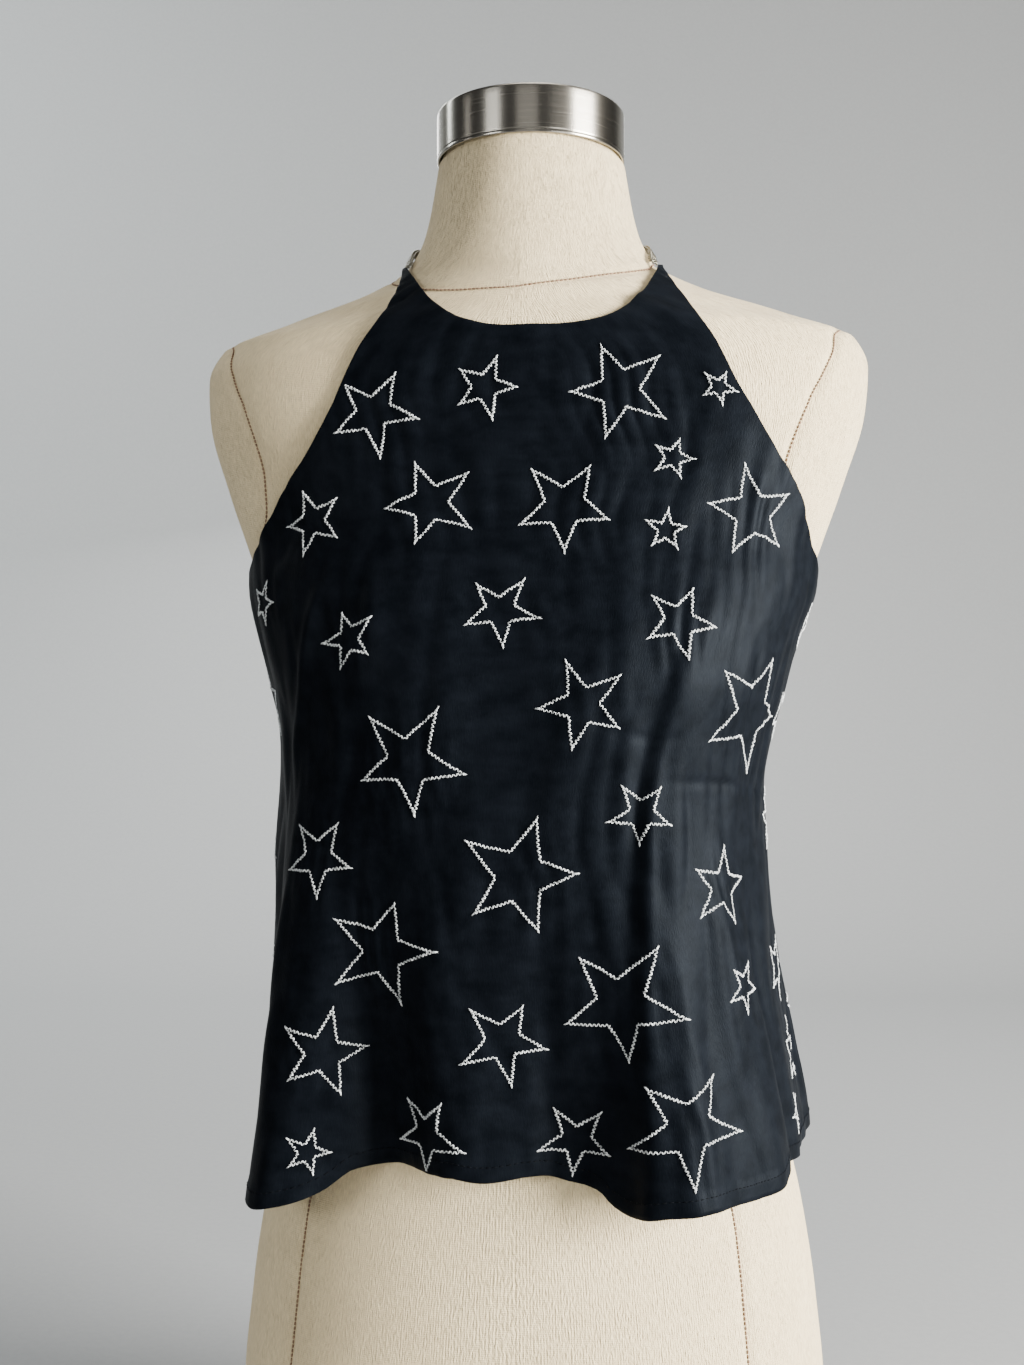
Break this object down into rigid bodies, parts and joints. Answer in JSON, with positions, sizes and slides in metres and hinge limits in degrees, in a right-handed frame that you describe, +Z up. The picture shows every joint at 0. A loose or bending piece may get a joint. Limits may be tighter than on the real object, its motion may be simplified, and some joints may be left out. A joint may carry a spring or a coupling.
{
  "type": "halter neck top on a dress form",
  "caption": "Sleeveless halter neck top with a fine neck chain and fluted hem, worn by a limbless dress form with a metal neck cap.",
  "frame": {"origin": "middle of the board's underside, on which the dress form stands", "axes": "+Z up, +X to the wearer's left, -Y the way the wearer faces"},
  "size_m": [0.3778, 0.26, 0.8125],
  "materials": {
    "satin": "near-black navy satin with a soft sheen and silver embroidered stars",
    "chain": "fine bright metal chain",
    "form_cover": "matt cream woven cotton",
    "neck_cap": "brushed nickel",
    "board": "plain sealed plywood"
  },
  "bodies": {
    "root": {"front_panel": "satin", "back_panel": "satin", "neck_chain_left": "chain", "neck_chain_right": "chain", "chain_clasp": "chain", "form_torso": "form_cover", "form_neck_cap": "neck_cap", "form_board": "board"}
  },
  "joints": []
}
